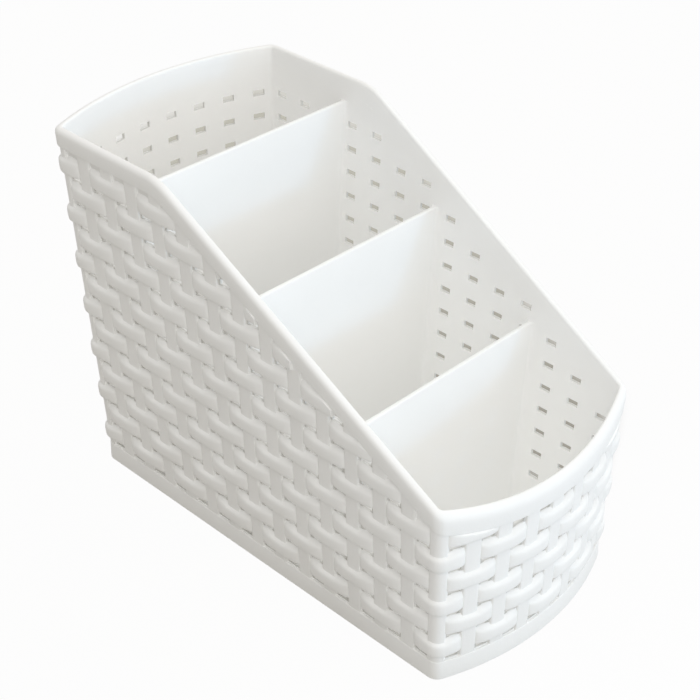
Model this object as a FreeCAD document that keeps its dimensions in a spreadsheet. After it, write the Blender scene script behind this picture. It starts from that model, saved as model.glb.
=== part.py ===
"""Desk organizer basket: a tapered plastic tub that looks woven, with a sloped mouth and three dividers.

The frame is +Z up and +Y to the tall back, with the origin under the middle of the tub. The plan has the
same shape at every height: straight sides, with a front and a back that bow outwards. The floor and the two
plain bands are cut from drafted blocks. Between the bands each wall is a thin skin with windows, with upright
stakes on it and strands that pass over every other stake. All layers are measured outwards from the outer face
of that skin.
"""
import FreeCAD, Part
import math
import os
import Sketcher
from functools import partial

# Driving dimensions, in millimetres. Stakes are counts, and shares are parts of the pitch that they follow.
SIZES = {
    # The tub, measured on the outer face of the skin at the rim.
    "height": 170.0,
    "front_height": 80.5,
    "width": 121.0,
    "depth": 234.0,
    "bow_radius": 146.0,
    "corner_radius": 5.0,
    # How far each wall leans in from the top to the base.
    "side_lean": 8.0,
    "back_lean": 9.5,
    "front_lean": 2.7,
    # The bend of the rim, measured forwards from the back of the tub.
    "bend_setback": 76.0,
    "bend_radius": 25.0,
    # The skin's thickness, then how far each layer stands out from it.
    "skin": 1.5,
    "stake_proud": 1.1,
    "band_proud": 2.0,
    "strand_proud": 2.7,
    # The plain floor and bands.
    "floor_thickness": 2.0,
    "rim_band": 8.0,
    "base_band": 9.0,
    # The weave.
    "row_pitch": 11.45,
    "first_window": 11.2,
    "window_height": 2.9,
    "strand_height": 8.9,
    "side_stakes": 13,
    "end_stakes": 7,
    "stake_share": 0.49,
    "window_share": 0.37,
    "strand_share": 0.72,
    "crown_share": 0.3,
    "strap_bends": 3,
    "blind_share": 0.3,
    "sliver_share": 0.15,
    # The dividers, and how far their tops lie under the rim above them.
    "divider_thickness": 2.0,
    "divider_round": 0.7,
    "divider_spacing": 56.6,
    "divider_drop": 18.0,
    "rear_divider_drop": 11.0,
}

doc = FreeCAD.newDocument("organizer")
sheet = doc.addObject("Spreadsheet::Sheet", "Sizes")
for row, (alias, value) in enumerate(SIZES.items(), start=1):
    sheet.set(f"A{row}", alias)
    sheet.set(f"B{row}", str(value))
    sheet.setAlias(f"B{row}", alias)
doc.recompute()


def size(name):
    """The value of one cell of the sheet."""
    return float(sheet.get(name))


def bind(item, **expressions):
    """Ties properties of an object to the sheet. Two underscores in a name stand for a dot."""
    for name, text in expressions.items():
        item.setExpression(name.replace("__", "."), text)


# Values that follow from the driving dimensions.
HEIGHT = size("height")
HALF_WIDTH = size("width") / 2
HALF_DEPTH = size("depth") / 2
BEND = HALF_DEPTH - size("bend_setback")
FALL = (HEIGHT - size("front_height")) / (HALF_DEPTH + BEND)
SLOPE = math.atan(FALL)
ROW = size("row_pitch")
SIDE_STAKES = int(size("side_stakes"))
END_STAKES = int(size("end_stakes"))
CORNER = math.asin(HALF_WIDTH / size("bow_radius"))
HALF_PANEL = CORNER / (END_STAKES + 1)
STRAP_BENDS = int(size("strap_bends"))
BACK, FRONT = 1, -1
RIGHT, LEFT = 1, -1

# The slope of the rim, in the sheet's own terms.
FALL_TEXT = "(Sizes.height - Sizes.front_height) / (Sizes.depth - Sizes.bend_setback)"


# Places on the walls

def half_width(level):
    """Half the width over the skin at a height."""
    return HALF_WIDTH - size("side_lean") * (1 - level / HEIGHT)


def bow(level):
    """The skin's bow radius at a height: it keeps in step with the width, so the corner angle stays."""
    return size("bow_radius") * half_width(level) / HALF_WIDTH


def apex(end, level):
    """How far the middle of the front or back wall lies from the middle of the tub."""
    if end == BACK:
        return HALF_DEPTH - size("back_lean") * (1 - level / HEIGHT)
    return HALF_DEPTH - size("front_lean") * (size("front_height") - level) / HEIGHT


def bow_point(end, index, level, proud):
    """A point on the bow of an end wall, where two of its panels meet, set out from the skin."""
    angle = HALF_PANEL * (2 * index - END_STAKES - 1)
    radius = bow(level) + proud / math.cos(HALF_PANEL)
    centre = apex(end, level) - bow(level)
    return FreeCAD.Vector(radius * math.sin(angle), end * (centre + radius * math.cos(angle)), level)


def end_point(end, index, level, proud):
    """A point on the flat panels of an end wall, by its count of stakes from the left corner."""
    first = min(int(index), END_STAKES)
    share = index - first
    start = bow_point(end, first, level, proud)
    return start + (bow_point(end, first + 1, level, proud) - start) * share


def side_point(side, index, level, proud):
    """A point on a side wall, by its count of stakes from the back corner."""
    back = bow_point(BACK, 0, level, 0).y
    front = bow_point(FRONT, 0, level, 0).y
    place = back + (front - back) * index / (SIDE_STAKES + 1)
    return FreeCAD.Vector(side * (half_width(level) + proud), place, level)


def corner_point(side, end, level):
    """The point where the skins of a side and an end would meet in a sharp corner."""
    return bow_point(end, 0 if side == LEFT else END_STAKES + 1, level, 0)


def band_edge(place):
    """The height of the lower edge of the rim at a place along Y."""
    radius = size("bend_radius") - size("rim_band")
    ahead = BEND + size("bend_radius") * math.tan(SLOPE / 2) - place
    if ahead <= 0:
        return HEIGHT - size("rim_band")
    if ahead < radius * math.sin(SLOPE):
        return HEIGHT - size("bend_radius") + math.sqrt(radius**2 - ahead**2)
    return HEIGHT - size("rim_band") / math.cos(SLOPE) - (BEND - place) * FALL


# Drafted blocks, slabs and profiles

def dimension(sketch, text, *constraint):
    """Adds a dimension to a sketch and ties it to the sheet."""
    number = sketch.addConstraint(Sketcher.Constraint(*constraint))
    sketch.setExpression(f"Constraints[{number}]", text)


def plan_sketch(label, up, layer, sign):
    """The tub's outline at the base (up is 0) or the top (up is 1), a layer out or in from the skin."""
    level = up * HEIGHT
    proud = sign * size(layer)
    half = half_width(level) + proud
    radius = bow(level) + proud
    round_radius = size("corner_radius") + proud
    turn = math.acos((half - round_radius) / (radius - round_radius))
    sketch = doc.addObject("Sketcher::SketchObject", label)

    def arc(x, y, size_of_arc, start, stop):
        circle = Part.Circle(FreeCAD.Vector(x, y), FreeCAD.Vector(0, 0, 1), size_of_arc)
        return sketch.addGeometry(Part.ArcOfCircle(circle, start, stop))

    centres = [apex(end, level) - bow(level) for end in (BACK, FRONT)]
    rise = (radius - round_radius) * math.sin(turn)
    back, front = centres[0] + rise, -centres[1] - rise
    across = half - round_radius
    right_line = Part.LineSegment(FreeCAD.Vector(half, front), FreeCAD.Vector(half, back))
    right_side = sketch.addGeometry(right_line)
    corners = [arc(across, back, round_radius, 0, turn)]
    back_bow = arc(0, centres[0], radius, turn, math.pi - turn)
    corners.append(arc(-across, back, round_radius, math.pi - turn, math.pi))
    left_line = Part.LineSegment(FreeCAD.Vector(-half, back), FreeCAD.Vector(-half, front))
    left_side = sketch.addGeometry(left_line)
    corners.append(arc(-across, front, round_radius, math.pi, math.pi + turn))
    front_bow = arc(0, -centres[1], radius, math.pi + turn, 2 * math.pi - turn)
    corners.append(arc(across, front, round_radius, 2 * math.pi - turn, 2 * math.pi))

    edges = [right_side, corners[0], back_bow, corners[1], left_side, corners[2], front_bow, corners[3]]
    for edge, after in zip(edges, edges[1:] + edges[:1]):
        sketch.addConstraint(Sketcher.Constraint("Tangent", edge, 2, after, 1))
    for line in (right_side, left_side):
        sketch.addConstraint(Sketcher.Constraint("Vertical", line))
    for curve in (back_bow, front_bow):
        sketch.addConstraint(Sketcher.Constraint("PointOnObject", curve, 3, -2))

    half_text = f"(Sizes.width / 2 - Sizes.side_lean * {1 - up})"
    bow_text = f"Sizes.bow_radius * {half_text} / (Sizes.width / 2)"
    proud_text = f"{sign} * Sizes.{layer}"
    back_text = f"(Sizes.depth / 2 - Sizes.back_lean * {1 - up})"
    front_text = f"(Sizes.depth / 2 - Sizes.front_lean * (Sizes.front_height / Sizes.height - {up}))"
    dimension(sketch, f"{half_text} + {proud_text}", "DistanceX", -1, 1, right_side, 1, half)
    dimension(sketch, f"{half_text} + {proud_text}", "DistanceX", left_side, 1, -1, 1, half)
    dimension(sketch, f"{bow_text} - {back_text}", "DistanceY", back_bow, 3, -1, 1, -centres[0])
    dimension(sketch, f"{bow_text} - {front_text}", "DistanceY", -1, 1, front_bow, 3, -centres[1])
    for curve in (back_bow, front_bow):
        dimension(sketch, f"{bow_text} + {proud_text}", "Radius", curve, radius)
    for curve in corners:
        dimension(sketch, f"Sizes.corner_radius + {proud_text}", "Radius", curve, round_radius)
    bind(sketch, Placement__Base__z=f"Sizes.height * {up}")
    return sketch


def tub_block(label, layer, sign):
    """A drafted block of the tub's form, from its outline at the base to its outline at the top."""
    block = doc.addObject("Part::Loft", label)
    block.Sections = [plan_sketch(f"{label}_plan_{up}", up, layer, sign) for up in (0, 1)]
    block.Solid = True
    block.Ruled = True
    doc.recompute()
    return block


def slab(label, thickness):
    """A flat slab that stands on the base plane and is wider than the tub."""
    box = doc.addObject("Part::Box", label)
    bind(box, Length="2 * Sizes.width", Width="2 * Sizes.depth", Height=f"Sizes.{thickness}")
    bind(box, Placement__Base__x="-Sizes.width", Placement__Base__y="-Sizes.depth")
    return box


def combine(kind, label, base, tool):
    """A cut or a common of two objects."""
    item = doc.addObject(f"Part::{kind}", label)
    item.Base = base
    item.Tool = tool
    doc.recompute()
    return item


def sketch_on(body, label, role):
    """An empty sketch on one of a body's own origin planes."""
    sketch = body.newObject("Sketcher::SketchObject", label)
    plane = next(item for item in body.Origin.OriginFeatures if item.Role == role)
    sketch.AttachmentSupport = [(plane, "")]
    sketch.MapMode = "FlatFace"
    return sketch


def middle_pad(body, sketch, length):
    """A pad to both sides of a sketch."""
    pad = body.newObject("PartDesign::Pad", f"{sketch.Label}_pad")
    pad.Profile = sketch
    pad.SideType = "Symmetric"
    bind(pad, Length=length)
    doc.recompute()
    return pad


def under_rim(label, drop=None):
    """Everything under the line of the rim, with that line set down square to itself by a drop."""
    body = doc.addObject("PartDesign::Body", label)
    sketch = sketch_on(body, f"{label}_sketch", "YZ_Plane")
    lower = size(drop) if drop else 0
    drop_text = f"Sizes.{drop}" if drop else "0"
    far = size("depth")
    radius = size("bend_radius") - lower
    centre = FreeCAD.Vector(BEND + size("bend_radius") * math.tan(SLOPE / 2), HEIGHT - size("bend_radius"))
    last = centre + FreeCAD.Vector(-math.sin(SLOPE), math.cos(SLOPE)) * radius
    back_top = FreeCAD.Vector(far, HEIGHT - lower)
    back_foot = FreeCAD.Vector(far, -HEIGHT)
    front_top = FreeCAD.Vector(-far, last.y - (last.x + far) * FALL)
    front_foot = FreeCAD.Vector(-far, -HEIGHT)
    circle = Part.Circle(centre, FreeCAD.Vector(0, 0, 1), radius)
    flat = sketch.addGeometry(Part.LineSegment(back_top, centre + FreeCAD.Vector(0, radius)))
    bend = sketch.addGeometry(Part.ArcOfCircle(circle, math.pi / 2, math.pi / 2 + SLOPE))
    fall = sketch.addGeometry(Part.LineSegment(front_top, last))
    front = sketch.addGeometry(Part.LineSegment(front_top, front_foot))
    foot = sketch.addGeometry(Part.LineSegment(front_foot, back_foot))
    back = sketch.addGeometry(Part.LineSegment(back_foot, back_top))
    for pair in ((fall, 1, front, 1), (front, 2, foot, 1), (foot, 2, back, 1), (back, 2, flat, 1)):
        sketch.addConstraint(Sketcher.Constraint("Coincident", *pair))
    sketch.addConstraint(Sketcher.Constraint("Tangent", flat, 2, bend, 1))
    sketch.addConstraint(Sketcher.Constraint("Tangent", bend, 2, fall, 2))
    for line in (flat, foot):
        sketch.addConstraint(Sketcher.Constraint("Horizontal", line))
    for line in (front, back):
        sketch.addConstraint(Sketcher.Constraint("Vertical", line))
    dimension(sketch, f"Sizes.bend_radius - {drop_text}", "Radius", bend, radius)
    dimension(sketch, f"Sizes.height - {drop_text}", "DistanceY", -1, 1, flat, 1, HEIGHT - lower)
    dimension(sketch, "Sizes.depth", "DistanceX", -1, 1, flat, 1, far)
    dimension(sketch, "Sizes.depth", "DistanceX", front, 1, -1, 1, far)
    dimension(sketch, "Sizes.height", "DistanceY", foot, 1, -1, 1, HEIGHT)
    dimension(sketch, f"atan({FALL_TEXT})", "Angle", fall, SLOPE)
    ahead_text = f"Sizes.bend_radius * tan(atan({FALL_TEXT}) / 2)"
    bend_text = f"Sizes.depth / 2 - Sizes.bend_setback + {ahead_text}"
    dimension(sketch, bend_text, "DistanceX", -1, 1, bend, 3, centre.x)
    middle_pad(body, sketch, "2 * Sizes.width")
    return body


# Solids with flat faces, and the weave

def flat_face(points):
    """A flat face with straight edges."""
    return Part.Face(Part.makePolygon(points + points[:1]))


def frustum(outline):
    """A solid from an outline's place at the base to its place at the top, with flat faces all round."""
    low, high = outline(0), outline(HEIGHT)
    faces = [flat_face(low), flat_face(high)]
    for number, point in enumerate(low):
        after = (number + 1) % len(low)
        faces.append(flat_face([point, low[after], high[after], high[number]]))
    shell = Part.makeShell(faces)
    shell.sewShape()
    return Part.makeSolid(shell)


def window_levels():
    """The heights of the rows of windows."""
    rows = int((HEIGHT - size("first_window")) / ROW) + 1
    return [size("first_window") + ROW * row for row in range(rows)]


def strand_levels():
    """The heights of the rows of strands, half way between the rows of windows."""
    return [level + ROW / 2 for level in window_levels()]


def window(point, column, level):
    """One straight cut through the skin, half way between two stakes."""
    start, stop = point(column, level, 0), point(column + 1, level, 0)
    along = (stop - start) * size("window_share") / 2
    out = FreeCAD.Vector(-along.y, along.x).normalize() * 2 * size("skin")
    middle = (start + stop) / 2 - FreeCAD.Vector(0, 0, size("window_height") / 2)
    corners = [middle - along - out, middle + along - out, middle + along + out, middle - along + out]
    return flat_face(corners).extrude(FreeCAD.Vector(0, 0, size("window_height")))


def windows(point, stakes):
    """The windows of one wall, less the closed row next to the rim."""
    cuts = [window(point, column, level) for level in window_levels() for column in range(stakes + 1)]
    closed = size("blind_share") * ROW
    return [cut for cut in cuts if cut.BoundBox.ZMax + closed < band_edge(cut.BoundBox.YMin)]


def stake(point, index, feet):
    """One stake from the base to the top, with its back on the skin."""
    half = size("stake_share") / 2

    def outline(level):
        front = [point(index + end, level, size("stake_proud")) for end in (half, -half)]
        return [point(index + half * foot, level, 0) for foot in feet] + front

    return frustum(outline)


def strand(point, index, level):
    """One strand: a strap that lies on a stake and slopes away to both sides of it."""
    half, proud = size("stake_share") / 2, size("stake_proud")
    left, right = point(index - half, level, proud), point(index + half, level, proud)
    middle, pitch = (left + right) / 2, (right - left) / size("stake_share")
    out = (point(index, level, proud) - point(index, level, 0)).normalize()
    top = middle + out * (size("strand_proud") - proud)
    tip, crown = pitch * size("strand_share"), pitch * size("crown_share")
    rise = (point(index, HEIGHT, 0) - point(index, 0, 0)) * size("strand_height") / HEIGHT
    outline = [middle - tip, top - crown, top + crown, middle + tip]
    return flat_face([place - rise / 2 for place in outline]).extrude(rise)


def trimmed(solid):
    """A strand cut off at the rim's lower edge, or nothing where only a sliver of it would be left."""
    if solid.BoundBox.ZMax <= band_edge(solid.BoundBox.YMin):
        return [solid]
    rest = solid.common(field.Shape)
    if rest.Volume < size("sliver_share") * solid.Volume:
        return []
    return rest.Solids


def strands(point, stakes):
    """The strands of one wall: over every other stake in a row, and over the ones between in the next row."""
    solids = []
    for row, level in enumerate(strand_levels()):
        for index in range(1, stakes + 1):
            crosses = (index + row) % 2 == 0
            if crosses and level - size("strand_height") / 2 < band_edge(point(index, level, 0).y):
                solids.extend(trimmed(strand(point, index, level)))
    return solids


class Corner:
    """The round between a side wall and an end wall, with the strip and the strands that lie on it."""

    def __init__(self, side, end):
        self.side, self.end = side, end
        first, second = (0, 1) if side == LEFT else (END_STAKES + 1, END_STAKES)
        self.along_end = (bow_point(end, second, 0, 0) - bow_point(end, first, 0, 0)).normalize()
        self.along_side = FreeCAD.Vector(0, -end, 0)
        self.out_side = FreeCAD.Vector(side, 0, 0)
        self.out_end = FreeCAD.Vector(-self.along_end.y, self.along_end.x, 0) * -side * end
        self.reach = size("corner_radius") / math.tan(self.along_side.getAngle(self.along_end) / 2)
        self.rise = corner_point(side, end, HEIGHT) - corner_point(side, end, 0)

    def side_foot(self, level, proud):
        """Where the round meets the side wall, set out from the skin."""
        return corner_point(self.side, self.end, level) + self.along_side * self.reach + self.out_side * proud

    def end_foot(self, level, proud):
        """Where the round meets the end wall, set out from the skin."""
        return corner_point(self.side, self.end, level) + self.along_end * self.reach + self.out_end * proud

    def sector(self, level):
        """The outline of the space between the two walls' ends of the round."""
        centre = self.side_foot(level, -size("corner_radius"))
        far = size("corner_radius") * 2 + size("stake_proud")
        side_end, end_end = centre + self.out_side * far, centre + self.out_end * far
        return [centre, side_end, side_end + self.out_end * far, end_end]

    def strip(self):
        """The corner strip from the base to the top, as thick as the skin and a stake together."""
        radius = size("corner_radius")
        foot = self.side_foot(0, -radius)
        outer = Part.makeCylinder(radius + size("stake_proud"), self.rise.Length, foot, self.rise)
        inner = Part.makeCylinder(radius - size("skin"), self.rise.Length, foot, self.rise)
        return outer.cut(inner).common(frustum(self.sector))

    def bends(self, level, proud):
        """The corners of a bent strap that just touches the round, from the side wall to the end wall."""
        centre = self.side_foot(level, -size("corner_radius"))
        turn = self.out_side.getAngle(self.out_end)
        step = turn / STRAP_BENDS
        radius = (size("corner_radius") + proud) / math.cos(step / 2)
        square = (self.out_end - self.out_side * math.cos(turn)) / math.sin(turn)
        angles = [step * (number + 0.5) for number in range(STRAP_BENDS)]
        return [centre + (self.out_side * math.cos(a) + square * math.sin(a)) * radius for a in angles]

    def strand(self, level):
        """A strap that comes down from the side wall's face, turns the corner on the strip and goes on."""
        over, under = size("strand_proud"), size("stake_proud")
        side_pitch = (side_point(self.side, 0, level, 0) - side_point(self.side, 1, level, 0)).Length
        end_pitch = (end_point(self.end, 0, level, 0) - end_point(self.end, 1, level, 0)).Length
        side_tip = self.along_side * (side_pitch * size("strand_share") - self.reach)
        end_tip = self.along_end * (end_pitch * size("strand_share") - self.reach)
        outline = [self.side_foot(level, under) + side_tip, self.side_foot(level, over)]
        outline += self.bends(level, over)
        outline += [self.end_foot(level, over), self.end_foot(level, under) + end_tip]
        outline += self.bends(level, under)[::-1]
        rise = self.rise * size("strand_height") / HEIGHT
        return flat_face([place - rise / 2 for place in outline]).extrude(rise)


# The plain pieces

inner_block = tub_block("inner_block", "skin", -1)
band_block = tub_block("band_block", "band_proud", 1)
mouth_profile = under_rim("mouth_profile")
band_profile = under_rim("band_profile", "rim_band")
base_slab = slab("base_slab", "base_band")

combine("Common", "floor", inner_block, slab("floor_slab", "floor_thickness"))
band_ring = combine("Cut", "band_ring", band_block, inner_block)
combine("Common", "base_band", band_ring, base_slab)
rim_ring = combine("Common", "rim_ring", band_ring, mouth_profile)
combine("Cut", "rim", rim_ring, band_profile)


# The woven walls between the base band and the rim

field = combine("Cut", "field", band_profile, base_slab)
corners = {(side, end): Corner(side, end) for side in (LEFT, RIGHT) for end in (BACK, FRONT)}


def keep(label, shape):
    """A node for a shape that is worked out from places on the walls."""
    item = doc.addObject("Part::Feature", label)
    item.Shape = shape
    item.Placement = FreeCAD.Placement()


def woven_wall(name, point, stakes, feet, outline):
    """The three nodes of one wall: its skin with the windows, its stakes, and the strands over them."""
    bars = [stake(point, index, feet) for index in range(1, stakes + 1)]
    keep(f"{name}_wall", frustum(outline).common(field.Shape).cut(Part.makeCompound(windows(point, stakes))))
    keep(f"{name}_stakes", Part.makeCompound([bar.common(field.Shape) for bar in bars]))
    keep(f"{name}_strands", Part.makeCompound(strands(point, stakes)))


def side_outline(side, level):
    """The outline of a side wall's skin at a height, from one corner strip to the other."""
    front, back = corners[side, FRONT], corners[side, BACK]
    inner = -size("skin")
    return [front.side_foot(level, inner), front.side_foot(level, 0), back.side_foot(level, 0),
            back.side_foot(level, inner)]


def end_outline(end, level):
    """The outline of an end wall's skin at a height, from one corner strip to the other."""
    left, right = corners[LEFT, end], corners[RIGHT, end]
    faces = []
    for proud in (0, -size("skin")):
        bends = [bow_point(end, index, level, proud) for index in range(1, END_STAKES + 1)]
        faces.append([left.end_foot(level, proud), *bends, right.end_foot(level, proud)])
    return faces[0] + faces[1][::-1]


for name, side in (("left", LEFT), ("right", RIGHT)):
    woven_wall(name, partial(side_point, side), SIDE_STAKES, (-1, 1), partial(side_outline, side))

for name, end in (("front", FRONT), ("back", BACK)):
    woven_wall(name, partial(end_point, end), END_STAKES, (-1, 0, 1), partial(end_outline, end))

turns = []
for (side, end), corner in corners.items():
    label = f"{'back' if end == BACK else 'front'}_{'left' if side == LEFT else 'right'}_corner"
    keep(label, corner.strip().common(field.Shape))
    for level in strand_levels()[::2]:
        if level - size("strand_height") / 2 < band_edge(corner_point(side, end, level).y):
            turns.extend(trimmed(corner.strand(level)))
keep("corner_strands", Part.makeCompound(turns))


# The dividers

def inner_width(level):
    """The clear width between the side walls at a height, in the sheet's own terms."""
    return f"Sizes.width - 2 * Sizes.skin - 2 * Sizes.side_lean * (1 - ({level}) / Sizes.height)"


def divider(label, place, top):
    """An upright plate from side to side, standing on the floor, with its top edges rounded."""
    body = doc.addObject("PartDesign::Body", label)
    sketch = sketch_on(body, f"{label}_sketch", "XZ_Plane")
    reach = HALF_WIDTH / 2
    points = [FreeCAD.Vector(x, y) for x, y in ((-reach, 0), (reach, 0), (reach, reach), (-reach, reach))]
    for start, stop in zip(points, points[1:] + points[:1]):
        sketch.addGeometry(Part.LineSegment(start, stop))
    for line in range(4):
        sketch.addConstraint(Sketcher.Constraint("Coincident", line, 2, (line + 1) % 4, 1))
    for line in (0, 2):
        sketch.addConstraint(Sketcher.Constraint("Symmetric", line, 1, line, 2, -2))
    dimension(sketch, "Sizes.floor_thickness", "DistanceY", -1, 1, 0, 1, reach)
    dimension(sketch, top, "DistanceY", -1, 1, 2, 1, 2 * reach)
    dimension(sketch, inner_width("Sizes.floor_thickness"), "DistanceX", 0, 1, 0, 2, 2 * reach)
    dimension(sketch, inner_width(top), "DistanceX", 2, 2, 2, 1, 2 * reach)
    pad = middle_pad(body, sketch, "Sizes.divider_thickness")
    summit = pad.Shape.BoundBox.ZMax - size("divider_round")
    edges = [
        f"Edge{number}"
        for number, edge in enumerate(pad.Shape.Edges, start=1)
        if edge.BoundBox.ZMin > summit and edge.BoundBox.XLength > HALF_WIDTH
    ]
    lip = body.newObject("PartDesign::Fillet", f"{label}_lip")
    lip.Base = (pad, edges)
    bind(lip, Radius="Sizes.divider_round")
    bind(body, Placement__Base__y=place)
    doc.recompute()


def under_slope(place):
    """The height of a divider's top at a place under the sloped rim, in the sheet's own terms."""
    ahead = f"(Sizes.depth / 2 - Sizes.bend_setback - ({place}))"
    return f"Sizes.height - {ahead} * {FALL_TEXT} - Sizes.divider_drop"


divider("rear_divider", "Sizes.divider_spacing", "Sizes.height - Sizes.rear_divider_drop")
divider("middle_divider", "0", under_slope("0"))
divider("front_divider", "-Sizes.divider_spacing", under_slope("-Sizes.divider_spacing"))


# The nodes, checked and written

NODES = ["floor", "base_band", "rim"]
for name in ("left", "right", "front", "back"):
    NODES += [f"{name}_wall", f"{name}_stakes", f"{name}_strands"]
NODES += [f"{end}_{side}_corner" for end in ("front", "back") for side in ("left", "right")]
NODES += ["corner_strands", "rear_divider", "middle_divider", "front_divider"]

doc.recompute()
for item in doc.Objects:
    if "Invalid" in item.State or "Error" in item.State:
        raise RuntimeError(f"{item.Label} did not recompute")

os.makedirs("parts", exist_ok=True)
for label in NODES:
    shape = doc.getObject(label).Shape
    if shape.isNull() or not shape.isValid() or shape.Volume <= 0:
        raise RuntimeError(f"{label} has no valid shape")
    shape.exportStep(f"parts/{label}.step")
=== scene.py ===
"""White woven-look desk organizer: its looks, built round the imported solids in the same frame."""

import math

import bpy
import numpy as np
from mathutils import Matrix


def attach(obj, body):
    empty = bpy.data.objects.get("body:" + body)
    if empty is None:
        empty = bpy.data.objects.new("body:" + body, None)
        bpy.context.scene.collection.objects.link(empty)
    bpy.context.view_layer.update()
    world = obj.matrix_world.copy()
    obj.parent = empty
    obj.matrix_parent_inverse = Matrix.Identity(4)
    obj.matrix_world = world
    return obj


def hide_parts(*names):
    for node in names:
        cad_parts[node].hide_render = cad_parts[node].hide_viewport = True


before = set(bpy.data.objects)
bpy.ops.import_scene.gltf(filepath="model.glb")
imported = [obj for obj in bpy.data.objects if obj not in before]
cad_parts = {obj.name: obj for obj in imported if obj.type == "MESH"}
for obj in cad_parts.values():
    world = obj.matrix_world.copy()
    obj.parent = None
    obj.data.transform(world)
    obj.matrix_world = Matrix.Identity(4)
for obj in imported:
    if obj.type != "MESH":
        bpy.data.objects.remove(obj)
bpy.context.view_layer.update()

# The tub, in millimetres
MM = 0.001
HEIGHT, FRONT_HEIGHT = 170.0, 80.5
HALF_WIDTH, HALF_DEPTH = 60.5, 117.0
BOW_RADIUS, CORNER_RADIUS = 146.0, 3.2
SIDE_LEAN, BACK_LEAN, FRONT_LEAN = 8.0, 9.5, 2.7
BEND_AT, BEND_RADIUS = 41.0, 25.0
SKIN, STAKE_PROUD, BAND_PROUD, STRAND_PROUD = 1.5, 1.1, 2.0, 2.55
FLOOR_TOP, RIM_BAND, BASE_BAND = 2.0, 8.0, 9.0

# The weave: rows of windows with strands between them. The half widths are shares of the space between stakes
FIRST_WINDOW, ROW, ROWS = 11.2, 11.45, 13
WINDOW_HEIGHT, STRAND_HEIGHT = 2.9, 8.7
STAKE_HALF, WINDOW_HALF, CORNER_HALF = 0.245, 0.185, 0.3
# Shares of a row: the wall that a window leaves under the rim, and the height of a strand worth showing there
BLIND_SHARE, SLIVER_SHARE = 0.12, 0.3

# Each divider's name, its place along the tub and its top
DIVIDERS = (("rear", 56.6, 159.0), ("middle", 0.0, 128.78), ("front", -56.6, 96.71))
PLATE_HALF, PLATE_ROUND, PLATE_FLARE = 1.0, 0.7, 1.6

# The walk round the tub counts stakes: corners at 0, 14, 22 and 36, and 44 is back at the start
FRONT_LEFT, FRONT_RIGHT, BACK_RIGHT, ROUND = 14, 22, 36, 44
FRONT_MIDDLE, FRONT_CORNER, BACK_CORNER, BACK_MIDDLE = 18, 4, 18, 22
WALLS = (("left", 0, FRONT_LEFT), ("front", FRONT_LEFT, FRONT_RIGHT),
         ("right", FRONT_RIGHT, BACK_RIGHT), ("back", BACK_RIGHT, ROUND))
CORNERS = (("back_left", 0), ("front_left", FRONT_LEFT),
           ("front_right", FRONT_RIGHT), ("back_right", BACK_RIGHT))

CORNER_ANGLE = math.asin(HALF_WIDTH / BOW_RADIUS)
STAKE_ANGLE = CORNER_ANGLE / FRONT_CORNER
FALL = (HEIGHT - FRONT_HEIGHT) / (BEND_AT + HALF_DEPTH)
SLOPE = math.atan(FALL)
BEND_Y, BEND_Z = BEND_AT + BEND_RADIUS * math.tan(SLOPE / 2), HEIGHT - BEND_RADIUS

# Edges sharper than these, in degrees, stay sharp
EDGE_ANGLE, STRAND_EDGE_ANGLE = 38, 70
# Digits to which a place on the walk is kept, how near counts as the same, and the rounds that settle a height
DIGITS, NEAR, SETTLE = 5, 1e-6, 10


def wall_point(walk, z, out):
    """Points on the tub's outer face, moved out level by `out`.
    The walk is folded about the front's middle, so one half gives both: a bow arc in front, a quarter-round
    corner, a straight side, the second corner, then the back's bow arc. Widths, arc radius and the arcs' tops
    all change in proportion to height, which is the lean of the walls."""
    walk, z, out = np.broadcast_arrays(np.asarray(walk, float), z, out)
    turned = (walk - FRONT_MIDDLE + ROUND / 2) % ROUND - ROUND / 2
    step, hand = np.abs(turned), np.where(turned < 0, -1.0, 1.0)
    half = HALF_WIDTH - SIDE_LEAN * (1 - z / HEIGHT)
    bow = BOW_RADIUS * half / HALF_WIDTH
    back = HALF_DEPTH - BACK_LEAN * (1 - z / HEIGHT)
    front = HALF_DEPTH - FRONT_LEAN * (FRONT_HEIGHT - z) / HEIGHT
    drop = bow - bow * math.cos(CORNER_ANGLE)
    pitch = (back + front - 2 * drop) / (BACK_CORNER - FRONT_CORNER)
    # Side and bow, each on its own stretch
    at_back = step > (FRONT_CORNER + BACK_CORNER) / 2
    end, top = np.where(at_back, 1.0, -1.0), np.where(at_back, back, front)
    bow_steps = np.where(at_back, BACK_MIDDLE - step, step)
    angle = STAKE_ANGLE * bow_steps
    x_bow = (bow + out) * np.sin(angle)
    y_bow = end * (top - bow + (bow + out) * np.cos(angle))
    y_side = drop - front + pitch * (step - FRONT_CORNER)
    # The rounded corner between them, swept evenly from the side's direction to the bow's
    reach = np.sqrt((bow - CORNER_RADIUS) ** 2 - (half - CORNER_RADIUS) ** 2)
    tangent = np.arcsin((half - CORNER_RADIUS) / (bow - CORNER_RADIUS))
    side_end = FRONT_CORNER + (bow - drop - reach) / pitch
    bow_end = tangent / STAKE_ANGLE
    share = np.clip((side_end - bow_steps) / (side_end - bow_end), 0, 1)
    sweep = (math.pi / 2 - tangent) * share
    x_corner = half - CORNER_RADIUS + (CORNER_RADIUS + out) * np.cos(sweep)
    y_corner = end * (top - bow + reach + (CORNER_RADIUS + out) * np.sin(sweep))
    on_bow, on_side = bow_steps < bow_end, bow_steps > side_end
    x = np.where(on_bow, x_bow, np.where(on_side, half + out, x_corner))
    y = np.where(on_bow, y_bow, np.where(on_side, y_side, y_corner))
    return np.stack([hand * x, y, z], -1)


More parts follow.
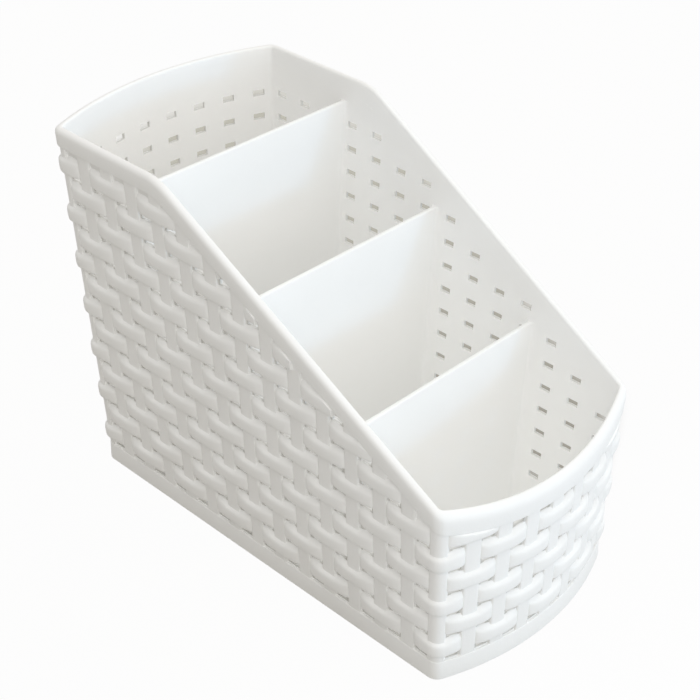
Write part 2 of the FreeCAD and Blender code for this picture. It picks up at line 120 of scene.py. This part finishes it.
def mouth_line(y, depth):
    """Height of the mouth's line, `depth` below its top and square to it: level at the back, an arc of the
    bend's radius less depth, then the straight fall to the front."""
    radius = BEND_RADIUS - depth
    turn = BEND_Y - radius * math.sin(SLOPE)
    arc = BEND_Z + np.sqrt(np.maximum(radius ** 2 - (y - BEND_Y) ** 2, 0))
    fall = BEND_Z + radius * math.cos(SLOPE) + FALL * (y - turn)
    return np.where(y >= BEND_Y, HEIGHT - depth, np.where(y >= turn, arc, fall))


def mouth_height(walk, depth, out):
    """Height on the wall at which it meets the mouth's line: the line is read at the wall's own place again
    and again, which settles at once because the walls are nearly upright."""
    walk, depth, out = np.broadcast_arrays(np.asarray(walk, float), depth, out)
    z = np.full(walk.shape, HEIGHT)
    for _ in range(SETTLE):
        z = mouth_line(wall_point(walk, z, out)[..., 1], depth)
    return z


def walk_lines(start, stop, per_stake, per_corner=14):
    """Places along the walk from start to stop: an even number for each stake, and more round each corner."""
    count = int(round((stop - start) * per_stake))
    lines = [np.linspace(start, stop, count + 1)]
    for corner in (0, FRONT_LEFT, FRONT_RIGHT, BACK_RIGHT, ROUND):
        lines.append(np.linspace(corner - CORNER_HALF, corner + CORNER_HALF, per_corner + 1))
    return between(np.concatenate(lines), start, stop)


def between(lines, start, stop):
    """Each place once, in order, and none outside start and stop."""
    lines = np.unique(lines.round(DIGITS))
    return lines[(lines >= start - NEAR) & (lines <= stop + NEAR)]


def piece(node, points, faces, material, edge_angle=EDGE_ANGLE, recess_shade=None):
    """A new piece from points in millimetres and faces, riding on the one body and standing for the named
    node. The share stored for each point says how much painted shade it takes, from 0 to 1: a darker tone that
    stands in for shadow in a gap of the weave."""
    name = f"smooth_{node}"
    mesh = bpy.data.meshes.new(name)
    mesh.from_pydata((np.asarray(points).reshape(-1, 3) * MM).tolist(), [], faces)
    if recess_shade is not None:
        mesh.attributes.new("recess_shade", "FLOAT", "POINT").data.foreach_set("value", recess_shade.astype(np.float32))
    mesh.validate()
    mesh.shade_smooth()
    mesh.set_sharp_from_angle(angle=math.radians(edge_angle))
    mesh.materials.append(material)
    made = bpy.data.objects.new(name, mesh)
    bpy.context.scene.collection.objects.link(made)
    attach(made, "root")
    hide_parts(node)
    return made


def tube_faces(sections, around, first=0, ring=False, turned=False):
    """Quads between neighbouring closed sections of `around` points, with an end face on each end unless it
    is a ring. Outlines that run the other way round have their faces turned."""
    here = first + np.arange(sections * around).reshape(sections, around)
    there = np.roll(here, -1, axis=0) if ring else here[1:]
    used = here if ring else here[:-1]
    quads = np.stack([used, np.roll(used, -1, 1), np.roll(there, -1, 1), there], -1)
    faces = quads.reshape(-1, 4).tolist()
    if not ring:
        faces += [here[0][::-1].tolist(), here[-1].tolist()]
    return [face[::-1] for face in faces] if turned else faces


def rounded(corners, steps=4):
    """A closed outline from corners (out, level, radius), each turned by an arc tangent to its two sides."""
    spots = np.array([corner[:2] for corner in corners], float)
    outline = []
    for k, (_, _, radius) in enumerate(corners):
        here, before, after = spots[k], spots[k - 1], spots[(k + 1) % len(spots)]
        if radius == 0:
            outline.append(here[None])
            continue
        into = (before - here) / np.linalg.norm(before - here)
        away = (after - here) / np.linalg.norm(after - here)
        half = math.acos(np.clip(into @ away, -1, 1)) / 2
        middle = here + (into + away) / np.linalg.norm(into + away) * radius / math.sin(half)
        first = here + into * radius / math.tan(half) - middle
        last = here + away * radius / math.tan(half) - middle
        share = np.linspace(0, 1, steps + 1)[:, None]
        spread = math.pi - 2 * half
        arc = first * np.sin((1 - share) * spread) + last * np.sin(share * spread)
        outline.append(middle + arc / math.sin(spread))
    return np.concatenate(outline)


# Small steps of a material, each of which gives the output of a new node


def ramp(nodes, links, value, start, stop, first=0.0, last=1.0, kind="LINEAR"):
    """A number that goes from first to last while value goes from start to stop."""
    node = nodes.new("ShaderNodeMapRange")
    node.interpolation_type = kind
    node.inputs["From Min"].default_value, node.inputs["From Max"].default_value = start, stop
    node.inputs["To Min"].default_value, node.inputs["To Max"].default_value = first, last
    links.new(value, node.inputs["Value"])
    return node.outputs["Result"]


def along(nodes, links, place, way):
    """How far a place lies in a direction."""
    node = nodes.new("ShaderNodeVectorMath")
    node.operation = "DOT_PRODUCT"
    node.inputs[1].default_value = way
    links.new(place, node.inputs[0])
    return node.outputs["Value"]


def blend(nodes, links, share, first, second):
    """A colour that goes from first to second with share, where each is three numbers or an output."""
    node = nodes.new("ShaderNodeMix")
    node.data_type = "RGBA"
    for socket, colour in (("A", first), ("B", second)):
        if isinstance(colour, tuple):
            node.inputs[socket].default_value = (*colour, 1)
        else:
            links.new(colour, node.inputs[socket])
    links.new(share, node.inputs["Factor"])
    return node.outputs["Result"]


def combine(nodes, links, operation, first, second):
    """Two shares added or multiplied, and kept from 0 to 1. The second may be a plain number."""
    node = nodes.new("ShaderNodeMath")
    node.operation, node.use_clamp = operation, True
    links.new(first, node.inputs[0])
    if isinstance(second, float):
        node.inputs[1].default_value = second
    else:
        links.new(second, node.inputs[1])
    return node.outputs["Value"]


def noise(nodes, links, place, scale, detail):
    """Cloudy noise, with about `scale` clouds to the metre."""
    node = nodes.new("ShaderNodeTexNoise")
    node.inputs["Scale"].default_value, node.inputs["Detail"].default_value = scale, detail
    links.new(place, node.inputs["Vector"])
    return node.outputs["Fac"]


# The plastic: clouds of white, patches of gloss, the depth of its grain in metres, and the painted shade in
# the weave's openings: a darker tone standing in for shadow, and its share
CLOUD_SCALE, CLOUD_DETAIL, CLOUD_EDGES = 34, 3, (0.32, 0.68)
PATCH_SCALE, PATCH_DETAIL, PATCH_EDGES = 150, 2, (0.3, 0.7)
GRAIN_DETAIL, GRAIN_DEPTH = 2, 0.0004
PLASTIC_IOR, PLASTIC_SPECULAR = 1.49, 0.4
GAP_PAINTED_SHADE, GAP_SHADE_SHARE = (0.56, 0.555, 0.52), 0.8


def plastic(name, light, dark, grain_scale, grain, rough_low, rough_high, gap_shade=False):
    """Satin moulded plastic: slow cloudy change of white, uneven gloss, and a fine grain as bump. With gap
    shade on, each point takes painted shade by the share stored on it: its colour turns toward a darker tone,
    as if in shadow."""
    made = bpy.data.materials.new(name)
    made.use_nodes = True
    nodes, links = made.node_tree.nodes, made.node_tree.links
    shader = nodes["Principled BSDF"]
    place = nodes.new("ShaderNodeTexCoord").outputs["Object"]
    tint = nodes.new("ShaderNodeValToRGB")
    for stop, edge, colour in zip(tint.color_ramp.elements, CLOUD_EDGES, (dark, light)):
        stop.position, stop.color = edge, (*colour, 1)
    links.new(noise(nodes, links, place, CLOUD_SCALE, CLOUD_DETAIL), tint.inputs["Fac"])
    colour = tint.outputs["Color"]
    if gap_shade:
        # Painted shade: where the stored share says a point lies in a gap of the weave, the colour turns
        # toward a darker tone as if in shadow
        recess_shade = nodes.new("ShaderNodeAttribute")
        recess_shade.attribute_name = "recess_shade"
        colour = blend(nodes, links, recess_shade.outputs["Fac"], colour, GAP_PAINTED_SHADE)
    links.new(colour, shader.inputs["Base Color"])
    patch = noise(nodes, links, place, PATCH_SCALE, PATCH_DETAIL)
    links.new(ramp(nodes, links, patch, *PATCH_EDGES, rough_low, rough_high), shader.inputs["Roughness"])
    bump = nodes.new("ShaderNodeBump")
    bump.inputs["Strength"].default_value, bump.inputs["Distance"].default_value = grain, GRAIN_DEPTH
    links.new(noise(nodes, links, place, grain_scale, GRAIN_DETAIL), bump.inputs["Height"])
    links.new(bump.outputs["Normal"], shader.inputs["Normal"])
    shader.inputs["IOR"].default_value = PLASTIC_IOR
    shader.inputs["Specular IOR Level"].default_value = PLASTIC_SPECULAR
    return made


WHITE, BAND_DARK, WEAVE_DARK = (0.97, 0.97, 0.962), (0.955, 0.954, 0.945), (0.95, 0.948, 0.938)
PLAIN = plastic("plain_plastic", WHITE, BAND_DARK,
                grain_scale=1400, grain=0.10, rough_low=0.36, rough_high=0.46)
# The woven plastic darkens the weave's openings with painted shade
WOVEN = plastic("woven_plastic", WHITE, WEAVE_DARK,
                grain_scale=900, grain=0.14, rough_low=0.38, rough_high=0.50, gap_shade=True)


def band(node, outline, heights, per_stake):
    """A band all round the tub: the outline's points (out, level) are carried along the walk; heights turns
    a place on the walk, a level and an out into a height."""
    walk = walk_lines(0, ROUND, per_stake)[:-1, None]
    out, level = outline[None, :, 0], outline[None, :, 1]
    points = wall_point(walk, heights(walk, level, out), out)
    return piece(node, points, tube_faces(len(walk), len(outline), ring=True), PLAIN)


# Outlines of the two bands: the rim's levels count down from its top, the base band's up from the ground
RIM_MIDDLE, RIM_INNER_ROUND, RIM_OUTER_ROUND, BAND_ROUND = 4.0, 1.0, 2.3, 0.5
RIM_OUTLINE = rounded([
    (-SKIN, RIM_BAND, 0), (-SKIN, RIM_MIDDLE, 0), (-SKIN, 0, RIM_INNER_ROUND),
    (BAND_PROUD, 0, RIM_OUTER_ROUND), (BAND_PROUD, RIM_MIDDLE, 0), (BAND_PROUD, RIM_BAND, BAND_ROUND),
    (0, RIM_BAND, 0)])
# The base band has a lip that runs out of the floor in a hollow round, and tapers in to its top
LIP, LIP_FOOT, LIP_SUNK, LIP_RISE, LIP_ROUND = 4.6, 1.5, 0.12, 0.1, 1.2
LEDGE, LEDGE_ROUND = 0.1, 0.4
BASE_OUTLINE = rounded([
    (-LIP, LIP_FOOT, 0), (-LIP, FLOOR_TOP - LIP_SUNK, 0), (-SKIN, FLOOR_TOP + LIP_RISE, LIP_ROUND),
    (-SKIN, BASE_BAND, 0), (0, BASE_BAND, 0), (STAKE_PROUD + LEDGE, BASE_BAND, LEDGE_ROUND),
    (BAND_PROUD, 0, BAND_ROUND), (-SKIN, 0, 0), (-SKIN, LIP_FOOT, 0)])
band("rim", RIM_OUTLINE, mouth_height, per_stake=12)
band("base_band", BASE_OUTLINE, lambda walk, level, out: level + 0 * walk, per_stake=6)

# How far from each stake's middle two more wall lines run, which keep the bowed ends round
STAKE_LINE = 0.16


def wall_skin(node, start, stop):
    """The thin smooth wall with its windows, one half way between each two stakes in every row. Lines along
    the walk and lines of height pass through every window edge; heights stop at the rim, so cells there
    shrink to triangles, and window cells are left out. The outer grid and the inner grid, one skin apart,
    are joined along every free edge."""
    places, posts = np.arange(start, stop) + 0.5, np.arange(start + 1, stop)
    rows, half = FIRST_WINDOW + ROW * np.arange(ROWS), WINDOW_HEIGHT / 2
    walk = between(np.concatenate([places - WINDOW_HALF, places, places + WINDOW_HALF,
                                   posts - STAKE_LINE, posts, posts + STAKE_LINE,
                                   [start + CORNER_HALF, stop - CORNER_HALF]]), start, stop)
    levels = between(np.concatenate([[BASE_BAND], rows - half, rows + half, [HEIGHT]]), BASE_BAND, HEIGHT)
    edge = mouth_height(walk, RIM_BAND, 0)
    z = np.minimum(levels[:, None], edge[None])
    row = np.minimum(np.arange(len(levels))[:, None], (levels[:, None] < edge[None]).sum(0)[None])
    index = row * len(walk) + np.arange(len(walk))[None]
    outer = wall_point(walk[None], z, 0.0)
    inner_edge = mouth_height(walk, RIM_BAND, -SKIN)
    inner = wall_point(walk[None], np.where(z >= edge[None], inner_edge[None], z), -SKIN)
    # A cell is a window when its middle lies in one that stays clear of the rim
    middle, height = (walk[1:] + walk[:-1]) / 2, (levels[1:] + levels[:-1]) / 2
    in_place = np.abs(middle - np.floor(middle) - 0.5) < WINDOW_HALF
    in_row = (np.abs(height[:, None] - rows[None]) < half).any(1)
    clear = mouth_height(np.floor(middle) + 0.5, RIM_BAND, 0) - BLIND_SHARE * ROW
    window = in_row[:, None] & in_place[None] & (height[:, None] + half < clear[None])
    a, b, c, d = index[:-1, :-1], index[:-1, 1:], index[1:, 1:], index[1:, :-1]
    keep = ~window & ~((a == d) & (b == c))
    whole, left_shut, right_shut = keep & (a != d) & (b != c), keep & (a == d), keep & (b == c)
    quads = np.stack([a, b, c, d], -1)[whole]
    threes = np.concatenate([np.stack([a, b, c], -1)[left_shut], np.stack([a, b, d], -1)[right_shut]])
    # Points at a window's edge on the outer face lie in a gap of the weave, and take painted shade there: a
    # darker tone standing in for shadow
    shade_beside = np.pad(window, 1)
    shade_beside = shade_beside[1:, 1:] | shade_beside[1:, :-1] | shade_beside[:-1, 1:] | shade_beside[:-1, :-1]
    return shell(node, outer, inner, quads, threes, GAP_SHADE_SHARE * shade_beside)


def shell(node, outer, inner, quads, threes, outer_painted_shade):
    """Two sheets of the same faces, the inner one turned about, closed by a quad along every edge that only
    one face uses."""
    count = outer.reshape(-1, 3).shape[0]
    edges = [np.stack([faces, np.roll(faces, -1, 1)], -1).reshape(-1, 2) for faces in (quads, threes)]
    edges = np.concatenate(edges)
    _, group, times = np.unique(np.sort(edges, 1), axis=0, return_inverse=True, return_counts=True)
    free = edges[times[group.ravel()] == 1]
    sides = np.stack([free[:, 1], free[:, 0], free[:, 0] + count, free[:, 1] + count], -1)
    sheets = [quads, threes, quads[:, ::-1] + count, threes[:, ::-1] + count, sides]
    used = np.unique(np.concatenate([sheet.ravel() for sheet in sheets]))
    place = np.zeros(2 * count, int)
    place[used] = np.arange(len(used))
    faces = [face for sheet in sheets for face in place[sheet].tolist()]
    points = np.concatenate([outer.reshape(-1, 3), inner.reshape(-1, 3)])
    # Painted shade lies only on the outer sheet, at the windows' edges; the inner sheet gets none
    recess_shade = np.concatenate([outer_painted_shade.ravel(), np.zeros(count)])
    return piece(node, points[used], faces, WOVEN, recess_shade=recess_shade[used])


# A stake's outline: share of its half width, and millimetres out from the skin
STAKE_OUTLINE = np.array([
    (-1, -0.2), (-1, 0.45), (-0.985, 0.7), (-0.95, 0.88), (-0.88, 0.99), (-0.6, 1.06), (0, 1.1),
    (0.6, 1.06), (0.88, 0.99), (0.95, 0.88), (0.985, 0.7), (1, 0.45), (1, -0.2)])


def stakes(node, start, stop):
    """The upright bands: a flat outline with rounded edges and a slight crown, straight from foot to rim."""
    around, posts = len(STAKE_OUTLINE), np.arange(start + 1, stop)[:, None, None]
    out = STAKE_OUTLINE[None, None, :, 1]
    walk = posts + STAKE_OUTLINE[None, None, :, 0] * STAKE_HALF
    z = np.concatenate([np.full(walk.shape, BASE_BAND), mouth_height(walk, RIM_BAND, out)], 1)
    faces = []
    for k in range(len(posts)):
        faces += tube_faces(2, around, first=2 * around * k)
    return piece(node, wall_point(walk, z, out), faces, WOVEN)


# A corner strip's lines, and the shares of the space between stakes that its rounded edge takes up
CORNER_SKIN_LINES, CORNER_FACE_LINES = 15, 13
CORNER_FOOT, CORNER_STEP, CORNER_FACE = 0.01, 0.003, 0.02


def corner_strip(node, corner):
    """A corner: the stake's rounded outline drawn round the corner, with the skin's thickness behind it."""
    rise = STAKE_OUTLINE[1:5, 1]
    side = np.concatenate([[-CORNER_HALF, -STAKE_HALF - CORNER_FOOT],
                           -STAKE_HALF + CORNER_STEP * np.arange(len(rise))])
    face = np.linspace(-STAKE_HALF + CORNER_FACE, STAKE_HALF - CORNER_FACE, CORNER_FACE_LINES)
    behind = np.linspace(CORNER_HALF, -CORNER_HALF, CORNER_SKIN_LINES)
    walk = corner + np.concatenate([side, face, -side[::-1], behind])
    out = np.concatenate([[0, 0], rise, np.full(len(face), STAKE_PROUD), rise[::-1], [0, 0],
                          np.full(len(behind), -SKIN)])
    z = np.stack([np.full(len(walk), BASE_BAND), mouth_height(walk, RIM_BAND, out)])
    return piece(node, wall_point(walk[None], z, out[None]), tube_faces(2, len(walk)), WOVEN)


# A strand's outline: share of its half height, and share of the way from its root to its crown
STRAND_OUTLINE = np.array([
    (-1, 0), (-1, 0.45), (-0.985, 0.68), (-0.94, 0.84), (-0.84, 0.94), (-0.65, 0.985), (-0.35, 1), (0, 1),
    (0.25, 0.98), (0.42, 0.93), (0.53, 0.84), (0.63, 0.71), (0.75, 0.5), (0.88, 0.28), (1, 0.1), (1, 0)])
# Millimetres out from the skin under a stake and at the root; how flat the crown is and how far it reaches
DIP, ROOT, FLAT_POWER, REACH = 0.3, -0.3, 3.0, 0.78
# Share by which the top is pinched over a stake, all of it up to the first distance and none from the second
PINCH, PINCH_FROM, PINCH_TO = 0.16, 0.2, 0.45
# Distances of the sections from the stake that the strand crosses over
FROM_CROWN = np.array([0, 0.15, 0.22, 0.27, 0.32, 0.37, 0.43, 0.52, 0.6, 0.66, 0.71, 0.745, 0.77, 0.8, 1])


def strand(row, start, stop):
    """One level strand from start to stop on the walk, which crosses over every other stake. Away from that
    stake it falls as the square root of one less the flat power of the distance over the reach, and beyond
    the reach it lies under the next stake. Across it has a square foot and a bevelled top, and the top is
    pinched in over the stake. Near the rim it is cut off along the rim's edge. Gives the points, or none
    where the rim leaves no room."""
    crowns = np.arange(start - 1, stop + 2)
    crowns = crowns[(crowns - row) % 2 == 0][:, None]
    walk = between(np.concatenate([crowns - FROM_CROWN, crowns + FROM_CROWN,
                                   walk_lines(start, stop, 1)[:, None]], None), start, stop)
    middle = FIRST_WINDOW + ROW * (row + 0.5)
    walk = walk[mouth_height(walk, RIM_BAND, 0) > middle - STRAND_HEIGHT / 2 + SLIVER_SHARE * ROW][:, None]
    if len(walk) < 3:
        return walk[:0]
    across, share = STRAND_OUTLINE[None, :, 0], STRAND_OUTLINE[None, :, 1]
    from_crown = np.abs((walk - row + 1) % 2 - 1)
    swell = np.maximum(1 - (from_crown / REACH) ** FLAT_POWER, 0) ** (1 / 2)
    out = ROOT + (DIP + (STRAND_PROUD - DIP) * swell - ROOT) * share
    over = np.clip((PINCH_TO - from_crown) / (PINCH_TO - PINCH_FROM), 0, 1)
    pinch = 1 - PINCH * over ** 2 * (3 - 2 * over) * (across > 0)
    z = middle + STRAND_HEIGHT / 2 * across * pinch
    z = np.minimum(z, mouth_height(walk + 0 * z, RIM_BAND, out))
    return wall_point(walk, z, out)


def strands(node, stretches):
    """All strands of one wall, each stretch given as a row, a start and a stop."""
    made = [points for points in (strand(*stretch) for stretch in stretches) if len(points)]
    faces, first, around = [], 0, len(STRAND_OUTLINE)
    for points in made:
        faces += tube_faces(len(points), around, first=first, turned=True)
        first += len(points) * around
    points = np.concatenate([points.reshape(-1, 3) for points in made])
    return piece(node, points, faces, WOVEN, edge_angle=STRAND_EDGE_ANGLE)


for wall, start, stop in WALLS:
    wall_skin(f"{wall}_wall", start, stop)
    stakes(f"{wall}_stakes", start, stop)
    strands(f"{wall}_strands", [(row, start + 1 - row % 2, stop - 1 + row % 2) for row in range(ROWS)])
for corner, place in CORNERS:
    corner_strip(f"{corner}_corner", place)
strands("corner_strands", [(row, place - 1, place + 1) for row in range(0, ROWS, 2) for _, place in CORNERS])

# Lines on a divider's faces: up from the floor, down from the top, and in from the side walls past the flare
PLATE_UP, PLATE_DOWN, PLATE_IN = 20, 30, [8, 25]


def divider(node, place, top):
    """An upright plate across the tub: two faces one plate apart and a rounded top, with the faces flared by
    a quarter round where they run into the side walls."""
    straight = np.concatenate([[FLOOR_TOP, FLOOR_TOP + PLATE_UP],
                               np.linspace(top - PLATE_DOWN, top - PLATE_ROUND, 3)])
    arc = np.linspace(0, math.pi / 2, 5)[1:]
    level = np.concatenate([straight, top - PLATE_ROUND + PLATE_ROUND * np.sin(arc)])
    half = np.concatenate([np.full(len(straight), PLATE_HALF),
                           PLATE_HALF - PLATE_ROUND + PLATE_ROUND * np.cos(arc)])
    level, half = np.concatenate([level, level[::-1]]), np.concatenate([-half, half[::-1]])
    gap = np.concatenate([PLATE_FLARE * (1 - np.cos(np.linspace(0, math.pi / 2, 7))), PLATE_IN])
    share = np.concatenate([-np.ones(len(gap)), [0], np.ones(len(gap))])
    inset = np.concatenate([gap, [0], -gap[::-1]])
    wide = HALF_WIDTH - SIDE_LEAN * (1 - level / HEIGHT) - SKIN
    x = share[:, None] * wide[None] + inset[:, None]
    near = np.clip(1 - np.concatenate([gap, [HALF_WIDTH], gap[::-1]]) / PLATE_FLARE, 0, 1)
    swell = PLATE_FLARE * (1 - np.sqrt(1 - near ** 2))
    y = place + half[None] + np.sign(half)[None] * swell[:, None]
    points = np.stack([x, y, np.broadcast_to(level, x.shape)], -1)
    return piece(node, points, tube_faces(len(share), len(level), turned=True), PLAIN)


for part, place, top in DIVIDERS:
    divider(f"{part}_divider", place, top)
floor_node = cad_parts["floor"]
floor_node.data.materials.clear()
floor_node.data.materials.append(PLAIN)

# The studio, in metres: a pale floor that is brighter in front, soft room light, and three lamps in front
PAPER, PAPER_AHEAD, AHEAD = (0.42, 0.395, 0.345), (0.74, 0.76, 0.78), (-0.06, -0.24)
FLOOR_REACH, FLOOR_DROP, SHADOW_KEPT = 6.0, 0.0003, 0.03
# The painted shadow on the floor behind the tub, which no lamp casts: for each edge the way out over it, how
# far out it lies, and its soft width
SHADE_EDGES = (((0.8892, -0.4576, 0), 0.1665, 0.026), ((-0.8438, 0.5365, 0), 0.0949, 0.075),
               ((0, 1, 0), 0.390, 0.060), ((1, 0, 0), 0.330, 0.075),
               ((-0.8873, -0.4614, 0), 0.0023, 0.060), ((0.454, -0.891, 0), 0.1172, 0.018))
# The painted shadow's tone near the tub and far off, the way it grows paler, and where that begins and ends
SHADE_NEAR, SHADE_FAR = (0.36, 0.345, 0.30), (0.525, 0.51, 0.445)
SHADE_WAY, SHADE_FADE = (0.727, 0.687, 0), (0.06, 0.34)
# The room light's colour, its bright side, and its strength away from that side and straight toward it
ROOM_TINT, BRIGHT_SIDE, ROOM_DIM, ROOM_BRIGHT = (1.0, 0.985, 0.955), (0.32, -0.55, 0.771), 0.39, 1.22
# Each lamp's name, place, aim, size, colour and power
LAMPS = (("front_lamp", (0.2, -0.56, 0.152), (0, 0, 0.09), 0.06, (0.26, 0.58, 1.0), 0.75),
         ("sky_panel", (-0.66, -0.48, 0.96), (0, 0, 0.08), 0.7, (1.0, 0.99, 0.97), 1.2),
         ("front_fill", (0.15, -0.90, 0.12), (0, -0.1, 0.05), 0.5, (0.42, 0.74, 1.0), 0.75))


def shown(nodes, links, lit, white, kept, output):
    """Joins two shaders: white is what the camera, a reflection or clear glass sees, but for a kept share,
    and lit is what gives its light to the object."""
    path = nodes.new("ShaderNodeLightPath")
    seen = combine(nodes, links, "ADD", path.outputs["Is Camera Ray"], path.outputs["Is Glossy Ray"])
    seen = combine(nodes, links, "ADD", seen, path.outputs["Is Transmission Ray"])
    mix = nodes.new("ShaderNodeMixShader")
    links.new(combine(nodes, links, "MULTIPLY", seen, 1.0 - kept), mix.inputs[0])
    links.new(lit.outputs[0], mix.inputs[1])
    links.new(white.outputs[0], mix.inputs[2])
    links.new(mix.outputs[0], nodes.new(output).inputs["Surface"])


def studio_paper():
    """Pale matt paper that looks nearly white, keeps a share of the shadow, and has a painted soft shadow
    behind the tub, paler further off, which no lamp casts: the shares inside its straight edges, multiplied."""
    made = bpy.data.materials.new("studio_paper")
    made.use_nodes = True
    nodes, links = made.node_tree.nodes, made.node_tree.links
    nodes.clear()
    paper, glow = nodes.new("ShaderNodeBsdfDiffuse"), nodes.new("ShaderNodeEmission")
    glow.inputs["Strength"].default_value = 1.0
    place = nodes.new("ShaderNodeNewGeometry").outputs["Position"]
    forward = ramp(nodes, links, along(nodes, links, place, (0, 1, 0)), *AHEAD)
    links.new(blend(nodes, links, forward, PAPER, PAPER_AHEAD), paper.inputs["Color"])
    # Painted shadow: inside these edges the floor's white glow turns to the shade tone
    inside = None
    for way, edge, width in SHADE_EDGES:
        outward = along(nodes, links, place, way)
        share = ramp(nodes, links, outward, edge - width, edge, 1.0, 0.0, "SMOOTHSTEP")
        inside = combine(nodes, links, "MULTIPLY", inside, share) if inside else share
    fade = ramp(nodes, links, along(nodes, links, place, SHADE_WAY), *SHADE_FADE)
    shade = blend(nodes, links, fade, SHADE_NEAR, SHADE_FAR)
    links.new(blend(nodes, links, inside, (1, 1, 1), shade), glow.inputs["Color"])
    shown(nodes, links, paper, glow, SHADOW_KEPT, "ShaderNodeOutputMaterial")
    return made


def studio_room():
    """Soft room light, brightest from above and in front on the right, and dim behind. It grows with how far
    a direction points to that side, and is white where it is seen."""
    made = bpy.data.worlds.new("studio_room")
    made.use_nodes = True
    nodes, links = made.node_tree.nodes, made.node_tree.links
    nodes.clear()
    room, white = nodes.new("ShaderNodeBackground"), nodes.new("ShaderNodeBackground")
    room.inputs["Color"].default_value = (*ROOM_TINT, 1)
    white.inputs["Color"].default_value, white.inputs["Strength"].default_value = (1, 1, 1, 1), 1.0
    toward = along(nodes, links, nodes.new("ShaderNodeTexCoord").outputs["Generated"], BRIGHT_SIDE)
    links.new(ramp(nodes, links, toward, 0.0, 1.0, ROOM_DIM, ROOM_BRIGHT), room.inputs["Strength"])
    shown(nodes, links, room, white, 0.0, "ShaderNodeOutputWorld")
    return made


def lamp(name, place, aim, size, colour, power):
    """A round soft lamp at a place, turned to a point, whose light doesn't fade with distance."""
    data = bpy.data.lights.new(name, "AREA")
    data.shape, data.size, data.color, data.energy = "DISK", size, colour, 1.0
    data.use_nodes = True
    fade = data.node_tree.nodes.new("ShaderNodeLightFalloff")
    fade.inputs["Strength"].default_value = power
    data.node_tree.links.new(fade.outputs["Constant"], data.node_tree.nodes["Emission"].inputs["Strength"])
    made = bpy.data.objects.new(name, data)
    bpy.context.scene.collection.objects.link(made)
    back = np.array(place, float) - np.array(aim, float)
    back /= np.linalg.norm(back)
    right = np.cross((0, 0, 1), back)
    right /= np.linalg.norm(right)
    axes = np.stack([right, np.cross(back, right), back], 1)
    made.visible_camera = False
    made.matrix_world = Matrix.Translation(place) @ Matrix(axes.tolist()).to_4x4()
    return made


floor_mesh = bpy.data.meshes.new("studio_floor")
floor_mesh.from_pydata([(x * FLOOR_REACH, y * FLOOR_REACH, -FLOOR_DROP)
                        for x, y in ((-1, -1), (1, -1), (1, 1), (-1, 1))], [], [(0, 1, 2, 3)])
floor_mesh.materials.append(studio_paper())
studio_floor = bpy.data.objects.new("studio_floor", floor_mesh)
bpy.context.scene.collection.objects.link(studio_floor)
bpy.context.scene.world = studio_room()
for settings in LAMPS:
    lamp(*settings)

# The camera, at the place and with the lens that the photograph's window grid gives
LENS, SENSOR = 79.62, 36.0
CAMERA_PLACE = (-0.392589, -0.376418, 0.451188)
CAMERA_AXES = Matrix(((0.694499, 0.395940, -0.600752),
                      (-0.719334, 0.399703, -0.568152),
                      (0.015169, 0.826722, 0.562406)))
camera = bpy.data.objects.new("camera", bpy.data.cameras.new("camera"))
bpy.context.scene.collection.objects.link(camera)
camera.data.lens, camera.data.sensor_width = LENS, SENSOR
camera.matrix_world = Matrix.Translation(CAMERA_PLACE) @ CAMERA_AXES.to_4x4()
bpy.context.scene.camera = camera
bpy.context.scene.view_settings.view_transform = "Standard"
bpy.context.scene.cycles.diffuse_bounces = 12
